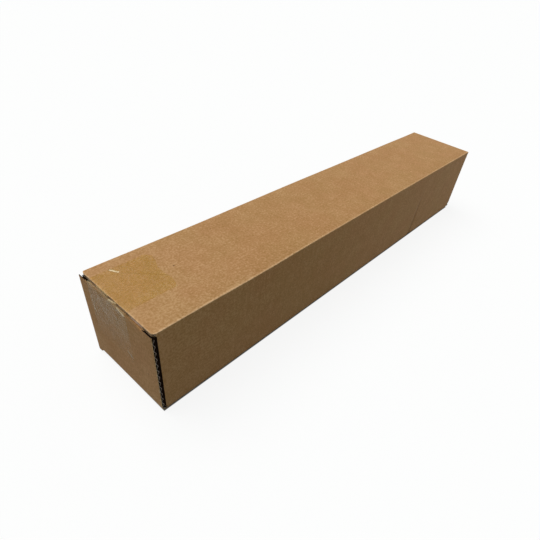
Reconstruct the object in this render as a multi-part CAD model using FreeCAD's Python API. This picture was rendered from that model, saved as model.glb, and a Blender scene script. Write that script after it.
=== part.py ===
import FreeCAD, Part
import math
import os

from FreeCAD import Vector

# A long tuck-end shipping box, folded from one sheet of single-wall B-flute board.
# Frame: X along the box, Y across it, Z up. The origin is under the middle of the box,
# on the surface that it stands on. The near end (-X) is taped shut, the far end (+X) is not.

# ---- The box ----------------------------------------------------------------
LENGTH = 509.2           # top panel, raw edge to raw edge
WIDTH = 86.2
HEIGHT = 82.9
LONG_FOLD_R = 1.0        # outside radius of the four long folds, which are crisp

# ---- The board --------------------------------------------------------------
BOARD = 2.8              # outside to outside
LINER = 0.4              # each flat paper face
MEDIUM = 0.35            # the fluted paper between them
FLUTE_PITCH = 6.4
FLUTE_CREST = 1.5        # flat part of a flute where it is glued to a liner
FLUTE_R = 0.7

# ---- Closing panels, hinged on the bottom panel -----------------------------
NEAR_PROUD = 1.6         # outer face beyond the top panel's raw edge, at the front side
NEAR_PROUD_BACK = 2.4    # the same at the back side: the panel stands a little askew
NEAR_WIDTH = 85.8
NEAR_LEAN = 0.4          # its foot stands this far inside its top
NEAR_FOLD_R = 4.6        # outside radius of the bottom crease
FAR_PROUD = 4.1
FAR_WIDTH = 82.4
FAR_FOLD_R = 4.0
FOOT = 6.0               # how far the closing panel's foot runs into the bottom panel
SHOULDER = 5.8           # straight corner at the near back, past the end of the bottom crease
SHOULDER_Z = 1.3
SHOULDER_GAP = 0.5

# ---- Tuck flaps -------------------------------------------------------------
TUCK_FOLD_R = 1.5
TUCK_TOP = HEIGHT - BOARD - 0.4
TUCK_SLOPE = math.radians(10)
TUCK_DEPTH = 25.0
TUCK_HALF_WIDTH = 39.2
TUCK_TIP_HALF_WIDTH = 32.0

# ---- Slits at both ends of each tuck crease ---------------------------------
SLIT_LENGTH = 10.0
SLIT_EAR = 7.8           # where the tuck flap's ear starts, from the outer face
SLIT_FLOOR = HEIGHT - 6.4
OUTER_LIP = 0.8          # outer liner with what is left of the flutes
OUTER_LIP_TOP = HEIGHT - 2.4
INNER_LIP_TOP = HEIGHT - BOARD - 0.5
TEAR_WIDTH = 1.6
TEAR_DEPTH = 4.0

# ---- Dust flaps, folded in from the front and back panels -------------------
NEAR_DUST_FACE = 2.2     # outer face, inside the top panel's raw edge
NEAR_DUST_R = 1.0
NEAR_DUST_BOTTOM = 3.2
FAR_DUST_FACE = -1.0
FAR_DUST_R = 2.0
FAR_DUST_BOTTOM = 6.5
DUST_LENGTH = 37.0
DUST_TOP = 74.5
DUST_TAPER = 5.0
DUST_CORNER_R = 6.0
DUST_SHOULDER = 9.2      # raised part that sits in the slit, near end only
DUST_SHOULDER_TOP = HEIGHT - BOARD - 0.9
CORNER_CUT_X = 7.0       # cut-away lower corners at the far end
CORNER_CUT_Z = 6.5

# ---- Glued lap inside the back panel ----------------------------------------
LAP_HEIGHT = 33.0
LAP_END_GAP = 9.0
BACK_PANEL_Z = 1.2       # raw lower edge of the back panel

# ---- Bruise on the front panel, along its flutes -----------------------------
BRUISE_X = 130.8         # at the bottom edge
BRUISE_LEAN = 0.11       # how far it leans to +X, per mm of height
BRUISE_HEIGHT = 62.0
BRUISE_DEPTH = 0.4
BRUISE_WIDTH = 7.0

# ---- Clear packing tape over the near top edge ------------------------------
TAPE = 0.06
TAPE_FRONT_Y = -14.5
TAPE_BACK_Y = 32.6
TAPE_LOW_Z = 31.0
TAPE_LANDS_Z = HEIGHT - 4.2
TAPE_TORN_END = [(46.8, 32.6), (46.2, 17.0), (44.5, 7.0), (43.9, 1.7), (42.7, -3.0), (41.6, -8.0),
                 (39.5, -14.5)]  # distance from the top panel's raw edge, and Y

# ---- Far crease, where the flap turns ---------------------------------------
CREASE_GAP = 0.4

# ---- Where the ends are -----------------------------------------------------
NEAR = -(LENGTH + FAR_PROUD - NEAR_PROUD_BACK) / 2
FAR = NEAR + LENGTH
FRONT = -WIDTH / 2
BACK = WIDTH / 2
SKEW = math.degrees(math.asin((NEAR_PROUD_BACK - NEAR_PROUD) / NEAR_WIDTH))
TUCK_CORNER_Z = TUCK_TOP + TUCK_FOLD_R * (1 / math.cos(TUCK_SLOPE) + math.tan(TUCK_SLOPE) - 1)
CREASE_X = FAR + FAR_PROUD - FAR_FOLD_R * (1 - math.sqrt(0.5))
CREASE_Z = FAR_FOLD_R * (1 - math.sqrt(0.5))


def box(x0, x1, y0, y1, z0, z1):
    return Part.makeBox(x1 - x0, y1 - y0, z1 - z0, Vector(x0, y0, z0))


def flat_face(corners, place):
    """Face through corners (u, v, radius); place turns a (u, v) vector into a point."""
    ends = []
    edges = []
    for i, (u, v, radius) in enumerate(corners):
        here = Vector(u, v, 0)
        last, following = corners[i - 1], corners[(i + 1) % len(corners)]
        to_last = (Vector(last[0], last[1], 0) - here).normalize()
        to_next = (Vector(following[0], following[1], 0) - here).normalize()
        if radius == 0:
            ends.append((here, here))
            continue
        half = to_last.getAngle(to_next) / 2
        reach = radius / math.tan(half)
        middle = here + (to_last + to_next).normalize() * (radius / math.sin(half) - radius)
        ends.append((here + to_last * reach, here + to_next * reach))
        edges.append(Part.Arc(place(ends[-1][0]), place(middle), place(ends[-1][1])).toShape())
    for i, (_, start) in enumerate(ends):
        end = ends[(i + 1) % len(ends)][0]
        if (end - start).Length > 1e-6:
            edges.append(Part.LineSegment(place(start), place(end)).toShape())
    return Part.Face(Part.Wire(Part.__sortEdges__(edges)))


def along_x(corners, x0, x1):
    """Prism along X from corners (y, z, radius)."""
    return flat_face(corners, lambda p: Vector(x0, p.x, p.y)).extrude(Vector(x1 - x0, 0, 0))


def along_y(corners, y0, y1):
    """Prism along Y from corners (x, z, radius)."""
    return flat_face(corners, lambda p: Vector(p.x, y0, p.y)).extrude(Vector(0, y1 - y0, 0))


def along_z(corners, z0, z1):
    """Prism along Z from corners (x, y, radius)."""
    return flat_face(corners, lambda p: Vector(p.x, p.y, z0)).extrude(Vector(0, 0, z1 - z0))


def mirrored_x(shape):
    return shape.mirror(Vector(0, 0, 0), Vector(1, 0, 0))


def mirrored_y(shape):
    return shape.mirror(Vector(0, 0, 0), Vector(0, 1, 0))


def sleeve():
    """The four panels as a tube, full length at the top and shorter at the sides and bottom."""
    def ring(inset, radius):
        side, top = WIDTH / 2 - inset, HEIGHT - inset
        return [(-side, inset, radius), (side, inset, radius), (side, top, radius), (-side, top, radius)]

    tube = along_x(ring(0, LONG_FOLD_R), NEAR, FAR)
    tube = tube.cut(along_x(ring(BOARD, 0.3), NEAR - 1, FAR + 1))
    near_side = NEAR + NEAR_DUST_FACE + NEAR_DUST_R
    far_side = FAR - FAR_DUST_FACE - FAR_DUST_R
    tube = tube.cut([box(NEAR - 1, near_side, FRONT - 1, BACK + 1, BOARD, HEIGHT - BOARD),
                     box(NEAR - 1, NEAR + 3, FRONT - 1, BACK + 1, -1, BOARD),
                     box(far_side, FAR + 1, FRONT - 1, BACK + 1, BOARD, HEIGHT - BOARD),
                     box(FAR - 0.5, FAR + 1, FRONT - 1, BACK + 1, -1, BOARD)])
    return tube.cut(lap_corner())


def lap_corner():
    """What the back bottom corner lacks: the bottom panel turns up there, into the lap."""
    crease_y = BACK - BOARD
    below = box(NEAR - 1, FAR + 1, crease_y, BACK + 1, -1, BACK_PANEL_Z)
    square = box(NEAR - 1, FAR + 1, crease_y - LONG_FOLD_R, crease_y, -1, LONG_FOLD_R)
    roll = Part.makeCylinder(LONG_FOLD_R, LENGTH + 2,
                             Vector(NEAR - 1, crease_y - LONG_FOLD_R, LONG_FOLD_R), Vector(1, 0, 0))
    return below.fuse(square.cut(roll))


def glued_lap():
    outer = BACK - BOARD
    return box(NEAR + LAP_END_GAP, FAR - LAP_END_GAP, outer - BOARD, outer, BOARD / 2, LAP_HEIGHT)


def dust_flap(face, radius, bottom, shoulder):
    """Near front dust flap with its upright fold; a raised shoulder sits in the slit."""
    x0 = NEAR + face
    top = DUST_SHOULDER_TOP if shoulder else DUST_TOP
    root, tip = FRONT + 5, FRONT + DUST_LENGTH
    run = BOARD + 1.2
    fold = [(x0, FRONT, radius), (x0 + run, FRONT, 0), (x0 + run, FRONT + BOARD, 0),
            (x0 + BOARD, FRONT + BOARD, 0.2), (x0 + BOARD, root, 0), (x0, root, 0)]
    panel = [(root - 0.5, bottom, 0), (tip, bottom + DUST_TAPER, DUST_CORNER_R),
             (tip, DUST_TOP - DUST_TAPER, DUST_CORNER_R)]
    if shoulder:
        step = FRONT + DUST_SHOULDER
        panel += [(step + 2, DUST_TOP, 0), (step, top, 1.5)]
    panel.append((root - 0.5, top, 0))
    return along_z(fold, bottom, top).fuse(along_x(panel, x0, x0 + BOARD))


def dust_flaps():
    near = dust_flap(NEAR_DUST_FACE, NEAR_DUST_R, NEAR_DUST_BOTTOM, True)
    far = dust_flap(FAR_DUST_FACE, FAR_DUST_R, FAR_DUST_BOTTOM, False)
    far.translate(Vector(-NEAR - FAR, 0, 0))
    far = mirrored_x(far)
    side = FAR - FAR_DUST_FACE - FAR_DUST_R
    far_edge = box(side - 1, side + 0.5, FRONT, FRONT + BOARD, DUST_TOP, HEIGHT - BOARD)
    return [near, mirrored_y(near), far, mirrored_y(far), far_edge, mirrored_y(far_edge)]


def far_corner_cuts():
    """Lower corners of the front and back panels at the far end, cut away for the crease."""
    corner = along_y([(FAR - CORNER_CUT_X, -1, 0), (FAR + 3, -1, 0), (FAR + 3, CORNER_CUT_Z, 0),
                      (FAR - 1, CORNER_CUT_Z, 2.0), (FAR - CORNER_CUT_X, 0.5, 0)],
                     FRONT - 1, -FAR_WIDTH / 2)
    return [corner, mirrored_y(corner)]


def flutes(start, along, across, count):
    """Hollows of the flutes, open at both ends in Y, on both sides of the medium.

    start is on the board's outer face, along runs with the board and across goes into it.
    """
    depth = BOARD - 2 * LINER - MEDIUM
    half_base = FLUTE_PITCH / 2 - MEDIUM * 0.8
    half_crest = FLUTE_CREST / 2
    hollows = []
    for i in range(2 * count - 1):
        middle = i * FLUTE_PITCH / 2
        base, crest = (LINER, LINER + depth) if i % 2 == 0 else (BOARD - LINER, BOARD - LINER - depth)
        outline = []
        for shift, deep, radius in ((-half_base, base, 0), (-half_crest, crest, FLUTE_R),
                                    (half_crest, crest, FLUTE_R), (half_base, base, 0)):
            spot = start + along * (middle + shift) + across * deep
            outline.append((spot.x, spot.z, radius))
        hollows.append(along_y(outline, FRONT - 3, BACK + 3))
    return Part.makeCompound(hollows)


def closing_panel(face, front_y, width, fold_r, lean):
    """Closing panel, its two folds, the tuck flap and the slits, as at the near end."""
    slope = math.tan(TUCK_SLOPE)
    rise = 1 / math.cos(TUCK_SLOPE)
    corner_z = TUCK_CORNER_Z
    tip_z = corner_z - TUCK_DEPTH * slope
    down = Vector(-math.sin(TUCK_SLOPE), 0, -math.cos(TUCK_SLOPE))
    along = Vector(math.cos(TUCK_SLOPE), 0, -math.sin(TUCK_SLOPE))
    up = Vector(-lean, 0, corner_z).normalize()
    inward = Vector(up.z, 0, -up.x)
    foot = face + lean
    panel = along_y([(face + FOOT, 0, 0), (foot, 0, fold_r), (face, corner_z, TUCK_FOLD_R),
                     (face + TUCK_DEPTH, tip_z, 0),
                     (face + TUCK_DEPTH + BOARD * down.x, tip_z + BOARD * down.z, 0),
                     (face + BOARD, corner_z - BOARD * (slope + rise), 0.3),
                     (foot + BOARD, BOARD, fold_r - BOARD), (face + FOOT, BOARD, 0)],
                    front_y, front_y + width)
    upright = flutes(Vector(foot, 0, 0) + up * 7.4, up, inward, 11)
    tucked = flutes(Vector(face, 0, corner_z) + along * 7.5, along, down, 3)
    panel = panel.cut([tuck_trim(face, front_y + width / 2), upright, tucked])
    for y0 in (front_y, front_y + width - SLIT_LENGTH):
        y1 = y0 + SLIT_LENGTH
        panel = panel.cut(box(face - 1, face + SLIT_EAR, y0, y1, SLIT_FLOOR, HEIGHT))
        panel = panel.fuse([box(face, face + OUTER_LIP, y0, y1, SLIT_FLOOR - 1, OUTER_LIP_TOP),
                            box(face + BOARD - LINER, face + BOARD, y0, y1, SLIT_FLOOR - 1, INNER_LIP_TOP)])
    return panel


def tuck_trim(face, middle_y):
    """Board outside the tuck flap: straight sides, then a taper to the tip."""
    trims = []
    for side in (-1, 1):
        trims.append(along_z([(face + BOARD, middle_y + side * TUCK_HALF_WIDTH, 0),
                              (face + TUCK_DEPTH * 0.55, middle_y + side * TUCK_HALF_WIDTH, 4.0),
                              (face + TUCK_DEPTH + 1, middle_y + side * TUCK_TIP_HALF_WIDTH, 0),
                              (face + TUCK_DEPTH + 1, middle_y + side * WIDTH, 0),
                              (face + BOARD, middle_y + side * WIDTH, 0)], SLIT_FLOOR - 15, HEIGHT))
    return Part.makeCompound(trims)


def near_closure():
    """The taped closing panel: askew, torn at its back slit, its bottom crease cut short."""
    face = NEAR - NEAR_PROUD
    back_y = FRONT + NEAR_WIDTH
    panel = closing_panel(face, FRONT, NEAR_WIDTH, NEAR_FOLD_R, NEAR_LEAN)
    slit_end = back_y - SLIT_LENGTH
    tear = along_x([(slit_end - TEAR_WIDTH / 2, OUTER_LIP_TOP + 1, 0),
                    (slit_end, OUTER_LIP_TOP - TEAR_DEPTH, 0),
                    (slit_end + TEAR_WIDTH / 2, OUTER_LIP_TOP + 1, 0)], face - 1, face + BOARD)
    crease_end = box(face - 1, face + FOOT + 1, back_y - SHOULDER, BACK + 1, -1, NEAR_FOLD_R)
    foot = face + NEAR_LEAN
    panel = panel.cut([tear, crease_end])
    panel = panel.fuse(box(foot, foot + BOARD - 0.1, back_y - SHOULDER + SHOULDER_GAP, back_y,
                           SHOULDER_Z, NEAR_FOLD_R + 0.5))
    panel.rotate(Vector(face, FRONT, 0), Vector(0, 0, 1), SKEW)
    return panel


def far_closure():
    panel = closing_panel(NEAR - FAR_PROUD, -FAR_WIDTH / 2, FAR_WIDTH, FAR_FOLD_R, 0)
    panel.translate(Vector(-NEAR - FAR, 0, 0))
    return mirrored_x(panel)


def crease_side(upper):
    """Half-space on one side of the far crease's middle, with half the gap besides."""
    size = 200.0
    low = -CREASE_GAP / 2 if upper else CREASE_GAP / 2 - size
    side = box(-size, size, -WIDTH, WIDTH, low, low + size)
    side.rotate(Vector(0, 0, 0), Vector(0, 1, 0), 45)
    side.translate(Vector(CREASE_X, 0, CREASE_Z))
    return side


def bruise():
    """A soft dent in the front panel that fades out upwards."""
    dent = along_z([(-BRUISE_WIDTH / 2, -BRUISE_DEPTH, 0), (0, BRUISE_DEPTH, 0),
                    (BRUISE_WIDTH / 2, -BRUISE_DEPTH, 0)], -5, BRUISE_HEIGHT + 10)
    dent.rotate(Vector(0, 0, 0), Vector(1, 0, 0), math.degrees(math.atan(BRUISE_DEPTH / BRUISE_HEIGHT)))
    dent.rotate(Vector(0, 0, 0), Vector(0, 1, 0), math.degrees(math.atan(BRUISE_LEAN)))
    dent.translate(Vector(BRUISE_X, FRONT, 0))
    return dent


def tape():
    """One strip: flat on the top panel, over its raw edge and down the closing panel."""
    def section(y):
        face = NEAR - NEAR_PROUD - math.tan(math.radians(SKEW)) * (y - FRONT)
        lean = NEAR_LEAN / TUCK_CORNER_Z
        lands = face + lean * (TUCK_CORNER_Z - 0.1 - TAPE_LANDS_Z)
        low = face + lean * (TUCK_CORNER_Z - 0.1 - TAPE_LOW_Z)
        under = [(NEAR + 60, HEIGHT), (NEAR, HEIGHT), (lands, TAPE_LANDS_Z), (low, TAPE_LOW_Z)]
        over = [(low - TAPE, TAPE_LOW_Z), (lands - TAPE, TAPE_LANDS_Z), (NEAR - TAPE, HEIGHT + TAPE),
                (NEAR + 60, HEIGHT + TAPE)]
        points = [Vector(x, y, z) for x, z in under + over]
        return Part.makePolygon(points + points[:1])

    strip = Part.makeLoft([section(TAPE_FRONT_Y), section(TAPE_BACK_Y)], True, True)
    keep = [(NEAR + x, y, 0) for x, y in TAPE_TORN_END]
    keep += [(NEAR - 20, TAPE_FRONT_Y, 0), (NEAR - 20, TAPE_BACK_Y, 0)]
    return strip.common(along_z(keep, 0, HEIGHT + 1))


def checked(name, shape):
    """One clean, valid solid."""
    shape = shape.removeSplitter()
    assert shape.isValid() and len(shape.Solids) == 1, (name, shape.isValid(), len(shape.Solids))
    return shape.Solids[0]


far_end = far_closure()
crease_stub = far_end.cut([crease_side(True), box(NEAR, FAR + 20, FRONT, BACK, FAR_FOLD_R, HEIGHT)])
sheet = sleeve().cut(far_corner_cuts())
sheet = sheet.fuse([glued_lap(), near_closure(), crease_stub] + dust_flaps())

nodes = {
    "folded_box": sheet.cut(bruise()),
    "far_end_flap": far_end.cut(crease_side(False)),
    "sealing_tape": tape(),
}

os.makedirs("parts", exist_ok=True)
for node, solid in nodes.items():
    solid = checked(node, solid)
    solid.exportStep(f"parts/{node}.step")
    span = solid.BoundBox
    print(f"{node}: {solid.Volume / 1000:.2f} cm3, x {span.XMin:.2f}..{span.XMax:.2f}, "
          f"y {span.YMin:.2f}..{span.YMax:.2f}, z {span.ZMin:.2f}..{span.ZMax:.2f}")
print(f"far crease at x {CREASE_X:.3f}, z {CREASE_Z:.3f}")
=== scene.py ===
import bmesh
import bpy
import math
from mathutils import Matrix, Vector, noise


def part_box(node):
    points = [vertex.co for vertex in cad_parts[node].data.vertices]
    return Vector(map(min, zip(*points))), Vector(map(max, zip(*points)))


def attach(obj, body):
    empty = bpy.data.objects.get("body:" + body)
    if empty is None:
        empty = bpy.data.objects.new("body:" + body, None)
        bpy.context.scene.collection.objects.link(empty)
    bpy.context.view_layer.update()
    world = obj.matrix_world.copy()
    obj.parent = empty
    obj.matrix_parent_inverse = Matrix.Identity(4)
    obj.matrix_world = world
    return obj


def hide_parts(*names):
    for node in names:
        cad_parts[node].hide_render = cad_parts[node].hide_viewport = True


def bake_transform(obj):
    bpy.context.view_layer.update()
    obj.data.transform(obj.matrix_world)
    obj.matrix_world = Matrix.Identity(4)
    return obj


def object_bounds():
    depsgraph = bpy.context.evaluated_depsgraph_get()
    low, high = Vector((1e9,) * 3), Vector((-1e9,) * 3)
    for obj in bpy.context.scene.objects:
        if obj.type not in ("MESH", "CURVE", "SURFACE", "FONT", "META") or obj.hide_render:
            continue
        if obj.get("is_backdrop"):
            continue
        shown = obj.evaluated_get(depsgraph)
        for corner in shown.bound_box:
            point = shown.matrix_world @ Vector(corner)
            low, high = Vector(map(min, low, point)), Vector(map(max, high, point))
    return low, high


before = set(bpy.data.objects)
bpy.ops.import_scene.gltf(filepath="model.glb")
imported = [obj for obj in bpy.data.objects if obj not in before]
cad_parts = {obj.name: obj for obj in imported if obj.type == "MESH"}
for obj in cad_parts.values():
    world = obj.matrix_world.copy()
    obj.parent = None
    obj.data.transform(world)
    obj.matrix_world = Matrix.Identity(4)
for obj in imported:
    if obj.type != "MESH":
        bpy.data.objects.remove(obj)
cad_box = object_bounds()


# ---- Studio ------------------------------------------------------------------
# A white table that runs on without an edge, lit by one broad soft lamp overhead and by
# the pale room around it. The camera looks down the length of the box from its near corner.
def linear(hex_colour):
    """Linear RGBA from an sRGB hex colour."""
    channels = [int(hex_colour[i:i + 2], 16) / 255 for i in (1, 3, 5)]
    return [c / 12.92 if c <= 0.04045 else ((c + 0.055) / 1.055) ** 2.4 for c in channels] + [1.0]


def add(tree, kind, links=None, **settings):
    """Add a node, set its properties, then fill its inputs with values or links."""
    node = tree.nodes.new(kind)
    for name, value in settings.items():
        setattr(node, name, value)
    for name, value in (links or {}).items():
        if isinstance(value, bpy.types.NodeSocket):
            tree.links.new(value, node.inputs[name])
        else:
            node.inputs[name].default_value = value
    return node


CAMERA_LENS = 27.697
CAMERA_WIDTH = 36.0
CAMERA_SHIFT = (-0.03099, 0.04671)
CAMERA_NEAREST = 0.01
CAMERA_PLACE = (-0.34883, -0.21069, 0.28174)
CAMERA_TURN = (48.990, -6.150, -48.493)
TABLE_SIZE = 80.0
TABLE_BOUNCE = "#666664"
SHADOW_SHARE = 0.12         # how much of the shadow the eye sees on the white table
# painted contact shadow around what touches the table: its width, strength and colour
CONTACT_SHADOW_WIDTH = 0.0005       # width of the dark line around what touches the table
CONTACT_SHADOW_SHARE = 0.95
CONTACT_SHADOW_COLOUR = "#3c3222"
# the bottom creases curve up off the table, so what touches it is shorter than the box
FOOTPRINT_MIDDLE = (-0.0039, (cad_box[0][1] + cad_box[1][1]) / 2, 0)
FOOTPRINT_HALF = (0.2509, (cad_box[1][1] - cad_box[0][1]) / 2, 0)
ROOM_LEVEL = 0.3
ROOM_TINT = (0.93, 1.07, 0.98)
SKYLIGHT_LEVEL = 2.0
SKYLIGHT_SPREAD = 50
SKYLIGHT_FROM = (-0.09, 0.45, 1.0)
FILL_POWER = 0.6
FILL_SIZE = 0.5
FILL_PLACE = (0.6, -0.65, 0.06)
FILL_AIM = (0.2, 0.0, 0.04)

scene = bpy.context.scene
scene.view_settings.view_transform = "Standard"

camera = bpy.data.objects.new("camera", bpy.data.cameras.new("camera"))
camera.data.lens = CAMERA_LENS
camera.data.sensor_width = CAMERA_WIDTH
camera.data.shift_x, camera.data.shift_y = CAMERA_SHIFT
camera.data.clip_start = CAMERA_NEAREST
camera.location = CAMERA_PLACE
camera.rotation_euler = [math.radians(angle) for angle in CAMERA_TURN]
scene.collection.objects.link(camera)
scene.camera = camera

skylight = bpy.data.objects.new("skylight", bpy.data.lights.new("skylight", "SUN"))
skylight.data.energy = SKYLIGHT_LEVEL
skylight.data.angle = math.radians(SKYLIGHT_SPREAD)
skylight.rotation_euler = (-Vector(SKYLIGHT_FROM)).to_track_quat("-Z", "Y").to_euler()
scene.collection.objects.link(skylight)

fill = bpy.data.objects.new("fill_lamp", bpy.data.lights.new("fill_lamp", "AREA"))
fill.data.shape = "DISK"
fill.data.size = FILL_SIZE
fill.data.energy = FILL_POWER
fill.location = FILL_PLACE
fill.rotation_euler = (Vector(FILL_AIM) - Vector(FILL_PLACE)).to_track_quat("-Z", "Y").to_euler()
scene.collection.objects.link(fill)

world = bpy.data.worlds.new("pale_room")
scene.world = world
world.use_nodes = True
tree = world.node_tree
tree.nodes.clear()
rays = add(tree, "ShaderNodeLightPath")
seen = add(tree, "ShaderNodeMath", {0: rays.outputs["Is Camera Ray"], 1: rays.outputs["Is Glossy Ray"]},
           operation="MAXIMUM")
seen = add(tree, "ShaderNodeMath", {0: seen.outputs[0], 1: rays.outputs["Is Transmission Ray"]},
           operation="MAXIMUM")
room = add(tree, "ShaderNodeBackground", {"Color": (*ROOM_TINT, 1.0), "Strength": ROOM_LEVEL})
backdrop = add(tree, "ShaderNodeBackground", {"Color": (1.0, 1.0, 1.0, 1.0), "Strength": 1.0})
mixed = add(tree, "ShaderNodeMixShader", {0: seen.outputs[0], 1: room.outputs[0], 2: backdrop.outputs[0]})
add(tree, "ShaderNodeOutputWorld", {"Surface": mixed.outputs[0]})

bm = bmesh.new()
bmesh.ops.create_grid(bm, x_segments=1, y_segments=1, size=TABLE_SIZE / 2)
table_mesh = bpy.data.meshes.new("table")
bm.to_mesh(table_mesh)
bm.free()
table = bpy.data.objects.new("table", table_mesh)
scene.collection.objects.link(table)
table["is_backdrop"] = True

# White melamine table: to the eye nearly shadowless white, and a mid grey in what it throws back.
material = bpy.data.materials.new("white_table")
material.use_nodes = True
tree = material.node_tree
tree.nodes.clear()
rays = add(tree, "ShaderNodeLightPath")
seen = add(tree, "ShaderNodeMath", {0: rays.outputs["Is Camera Ray"], 1: rays.outputs["Is Glossy Ray"]},
           operation="MAXIMUM")
bounce = add(tree, "ShaderNodeBsdfDiffuse", {"Color": linear(TABLE_BOUNCE)})
white = add(tree, "ShaderNodeBsdfDiffuse", {"Color": (1.0, 1.0, 1.0, 1.0)})
glow = add(tree, "ShaderNodeEmission", {"Color": (1.0, 1.0, 1.0, 1.0), "Strength": 1.0})
shown = add(tree, "ShaderNodeMixShader", {0: SHADOW_SHARE, 1: glow.outputs[0], 2: white.outputs[0]})
# painted contact shadow: a thin dark line painted where the folds meet the table
place = add(tree, "ShaderNodeTexCoord")
aside = add(tree, "ShaderNodeVectorMath", {0: place.outputs["Object"], 1: FOOTPRINT_MIDDLE},
            operation="SUBTRACT")
aside = add(tree, "ShaderNodeVectorMath", {0: aside.outputs[0]}, operation="ABSOLUTE")
aside = add(tree, "ShaderNodeVectorMath", {0: aside.outputs[0], 1: FOOTPRINT_HALF}, operation="SUBTRACT")
aside = add(tree, "ShaderNodeSeparateXYZ", {0: aside.outputs[0]})
aside = add(tree, "ShaderNodeMath", {0: aside.outputs[0], 1: aside.outputs[1]}, operation="MAXIMUM")
contact_shadow = add(tree, "ShaderNodeMapRange", {0: aside.outputs[0], 1: CONTACT_SHADOW_WIDTH, 2: 2 * CONTACT_SHADOW_WIDTH,
                                         3: CONTACT_SHADOW_SHARE, 4: 0.0})
dark = add(tree, "ShaderNodeBsdfDiffuse", {"Color": linear(CONTACT_SHADOW_COLOUR)})
shown = add(tree, "ShaderNodeMixShader", {0: contact_shadow.outputs[0], 1: shown.outputs[0], 2: dark.outputs[0]})
mixed = add(tree, "ShaderNodeMixShader", {0: seen.outputs[0], 1: bounce.outputs[0], 2: shown.outputs[0]})
add(tree, "ShaderNodeOutputMaterial", {"Surface": mixed.outputs[0]})
table.data.materials.append(material)


# ---- Folded box ----------------------------------------------------------------
# One sheet of single-wall B-flute board, folded into a long tube, glued along a lap inside the
# back panel and tucked shut at both ends. It is three papers: the outer liner, the fluted
# medium and the inner liner, and each is laid here on the same folds.
MM = 0.001
# the board: its papers are drawn about twice as thick as they are, so that a cut edge shows them
BOARD = 2.8
LINER = 0.55
MEDIUM = 0.4
FLUTE = 6.4
WASHBOARD = 0.02            # how far the liner sinks between two glue lines
# the sleeve
LONG_FOLD = 0.8
TOP_STRIP = BOARD + 0.5     # the top panel's own layer, which runs on past the upright cuts
TOP_CORNER = 3.0
LAP_HEIGHT = 33.0
LAP_END_GAP = 9.0
BACK_PANEL_Z = 1.2          # the back panel's raw edge hangs clear of the table
FAR_CORNER = 7.0            # length of the slanting cut at the far bottom corners
FAR_CORNER_Z = 0.5
FAR_END_CUT = 0.5
# the dust flaps inside both ends
DUST_LENGTH = 37.0
DUST_TOP = 74.5
DUST_TAPER = 5.0
DUST_CORNER = 6.0
DUST_SHOULDER = 9.2
DUST_SHOULDER_TOP = 79.2
NEAR_DUST_FACE = 2.2
NEAR_DUST_FOLD = 1.0
NEAR_DUST_BOTTOM = 3.2
FAR_DUST_FACE = -1.0
FAR_DUST_FOLD = 2.0
FAR_DUST_BOTTOM = 6.5
# the closing panels and their tuck flaps
NEAR_PROUD = 1.6
NEAR_PROUD_BACK = 2.4
NEAR_WIDTH = 85.8
NEAR_LEAN = 0.4
NEAR_FOLD = 4.6
FAR_PROUD = 4.1
FAR_WIDTH = 82.4
FAR_FOLD = 4.0
TUCK_FOLD = 1.5
TUCK_GAP = 0.4              # under the top panel
TUCK_SLOPE = math.radians(10)
TUCK_DEPTH = 25.0
TUCK_TAPER_FROM = 0.55 * TUCK_DEPTH
TUCK_HALF_WIDTH = 39.2
TUCK_TIP_HALF_WIDTH = 32.0
SLIT = 10.0                 # length of the slits at both ends of a tuck fold
EAR = 7.8                   # how far in a tuck flap is cut away beside them
SHOULDER = 5.8              # how far the near bottom crease stops short of the back
SHOULDER_Z = 1.3
SHOULDER_LIFT = 1.7
TEAR_WIDTH = 3.2
CREASE_HALF = 0.2           # of the two lines of liner that bend at the far crease
# what handling has done to it; a wave or dip is where along the edge, its reach and its size
CREASE_ROLL = 1.3           # how far the near tuck fold rolls up past its panel
CREASE_ROLL_BACK = 0.9      # how much farther it rolls at the worst place
CREASE_ROLL_AT = 61.0       # that place, from the front
CREASE_ROLL_REACH = 25.0
CREASE_ROLL_FROM = 74.0     # the height that the roll starts at
# the strength of the shade painted on the ridge of the rolled fold
CREASE_ROLL_SHADE = 0.45
BACK_EDGE_WAVES = [(8, 40, 0.4), (240, 90, 0.35), (105, 60, -0.35), (480, 60, -0.4)]
BACK_EDGE_IN = 0.4
FRONT_EDGE_DIPS = [(100, 70, 0.7), (120, 240, 0.35)]
TOP_SAG = 0.5
SIDE_SAG = 0.6
END_SAG = 0.5
BRUISE_X = 130.8
BRUISE_LEAN = 0.11
BRUISE_HEIGHT = 62.0
BRUISE_DEPTH = 1.2
BRUISE_WIDTH = 6.0
BRUISE_STEP = 0.12
PANEL_APART = 100.0         # keeps the flat places of the panels apart

low, high = [[c / MM for c in corner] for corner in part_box("folded_box")]
FRONT, BACK, HEIGHT = low[1], high[1], high[2]
NEAR = low[0] + NEAR_PROUD_BACK
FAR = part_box("far_end_flap")[1][0] / MM - FAR_PROUD
LIP = {"outer": HEIGHT - 1.6, "inner": HEIGHT - TOP_STRIP}     # the medium is crushed in the slits
SKEW = (NEAR_PROUD_BACK - NEAR_PROUD) / NEAR_WIDTH
FAR_FOLD_IN = FAR_FOLD * (1 - math.sqrt(0.5))      # from the sharp corner in to the middle of the fold


def bent_line(bm, corners, spacing):
    """Run of edges through (x, y, z, bend) corners; bend is how much of each side it takes."""
    points = [bm.verts.new(corner[:3]) for corner in corners]
    for pair in zip(points, points[1:]):
        bm.edges.new(pair)
    for point, corner in zip(points, corners):
        if corner[3] > 0:
            bmesh.ops.bevel(bm, geom=[point], affect="VERTICES", offset=corner[3], segments=4,
                            profile=0.5, material=-1)
    for edge in bm.edges[:]:
        cuts = int(edge.calc_length() / spacing)
        if cuts:
            bmesh.ops.subdivide_edges(bm, edges=[edge], cuts=cuts)
    return bm.verts[:] + bm.edges[:]


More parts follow.
